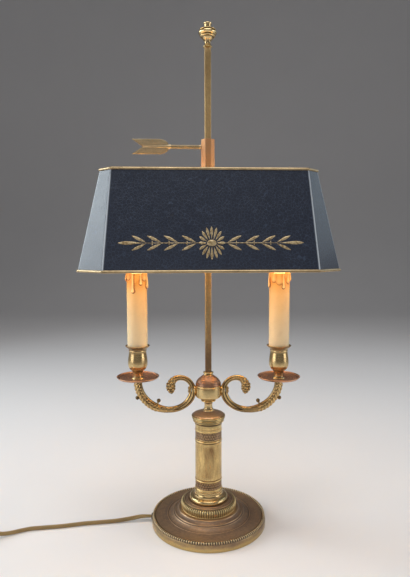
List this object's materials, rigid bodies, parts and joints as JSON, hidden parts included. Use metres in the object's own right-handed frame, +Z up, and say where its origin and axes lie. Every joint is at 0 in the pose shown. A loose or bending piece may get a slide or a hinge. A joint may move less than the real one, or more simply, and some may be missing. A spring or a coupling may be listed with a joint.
{
  "type": "two-light table lamp",
  "caption": "Brass table lamp with candle arms on a column, and an oblong painted metal shade that slides on a square rod and is clamped by an arrow key.",
  "frame": {"origin": "centre of the base's underside, on the table", "axes": "+Z up along the column and rod, the two arms along X, the shade's front towards -Y"},
  "size_m": [0.6259, 0.1788, 0.6385],
  "materials": {
    "aged_brass": "aged, brown patina",
    "bright_brass": "polished",
    "chased_brass": "engraved, satin",
    "copper_toned_brass": "aged, reddish",
    "ballast_iron": "rough",
    "felt": "felt",
    "steel_fittings": "plated",
    "candle_ivory": "satin, moulded drips",
    "holder_plastic": "matte",
    "plated_brass": "plated",
    "bulb_glass": "frosted",
    "inner_wire": "matte",
    "gold_flex": "satin, twin",
    "dark_plastic": "moulded",
    "shade_paint": "satin, fine crackle",
    "shade_edging": "satin"
  },
  "bodies": {
    "stand": {"base_foot": "aged_brass", "bead_ring": "bright_brass", "base_ballast": "ballast_iron", "base_felt": "felt", "base_washer": "steel_fittings", "base_nut": "steel_fittings", "tie_rod": "steel_fittings", "gadroon_ring": "bright_brass", "column_foot": "bright_brass", "column_tube": "chased_brass", "column_rings": "bright_brass", "column_capital": "aged_brass", "column_cap": "aged_brass", "neck_spindle": "bright_brass", "hub_bowl": "bright_brass", "hub_nut": "steel_fittings", "hub_dome": "copper_toned_brass", "rod_collar": "bright_brass", "left_arm": "aged_brass", "right_arm": "aged_brass", "arm_nipples": "steel_fittings", "arm_nuts": "steel_fittings", "left_drip_pan": "copper_toned_brass", "right_drip_pan": "copper_toned_brass", "left_candle_cup": "bright_brass", "right_candle_cup": "bright_brass", "candle_screws": "steel_fittings", "left_candle_sleeve": "candle_ivory", "right_candle_sleeve": "candle_ivory", "left_lampholder": "holder_plastic", "right_lampholder": "holder_plastic", "socket_shells": "plated_brass", "left_bulb_glass": "bulb_glass", "right_bulb_glass": "bulb_glass", "bulb_caps": "plated_brass", "supply_wire": "inner_wire", "wire_joint": "holder_plastic", "arm_wires": "inner_wire", "cord_bush": "dark_plastic", "cord_lead": "gold_flex", "switch_base": "dark_plastic", "switch_cover": "dark_plastic", "switch_screws": "steel_fittings", "cord_link": "gold_flex", "cord_coil": "gold_flex", "coil_tie": "dark_plastic", "cord_tail": "gold_flex", "plug_body": "dark_plastic", "plug_pins": "plated_brass"},
    "rod": {"rod": "aged_brass", "rod_nut": "steel_fittings", "finial": "bright_brass"},
    "shade": {"shade_sleeve": "copper_toned_brass", "shade_bridge": "steel_fittings", "shade_shell": "shade_paint", "shade_top_trim": "shade_edging", "shade_bottom_trim": "shade_edging"},
    "key": {"arrow_key": "bright_brass"},
    "rocker": {"switch_rocker": "dark_plastic"}
  },
  "joints": [
    {"name": "rod_turn", "type": "hinge", "parent": "stand", "child": "rod", "pos_m": [0, 0, 0.201], "axis": [0, 0, 1], "range_deg": [-15, 9]},
    {"name": "shade_slide", "type": "slide", "parent": "rod", "child": "shade", "axis": [0, 0, 1], "range_m": [-0.07, 0.11]},
    {"name": "key_turn", "type": "hinge", "parent": "shade", "child": "key", "pos_m": [0, 0, 0.4877], "axis": [-0.9986, -0.0523, 0], "range_deg": [0, 360]},
    {"name": "rocker_tilt", "type": "hinge", "parent": "stand", "child": "rocker", "pos_m": [-0.299, -0.042, 0.0135], "axis": [0, 1, 0], "range_deg": [-14, 0]}
  ]
}
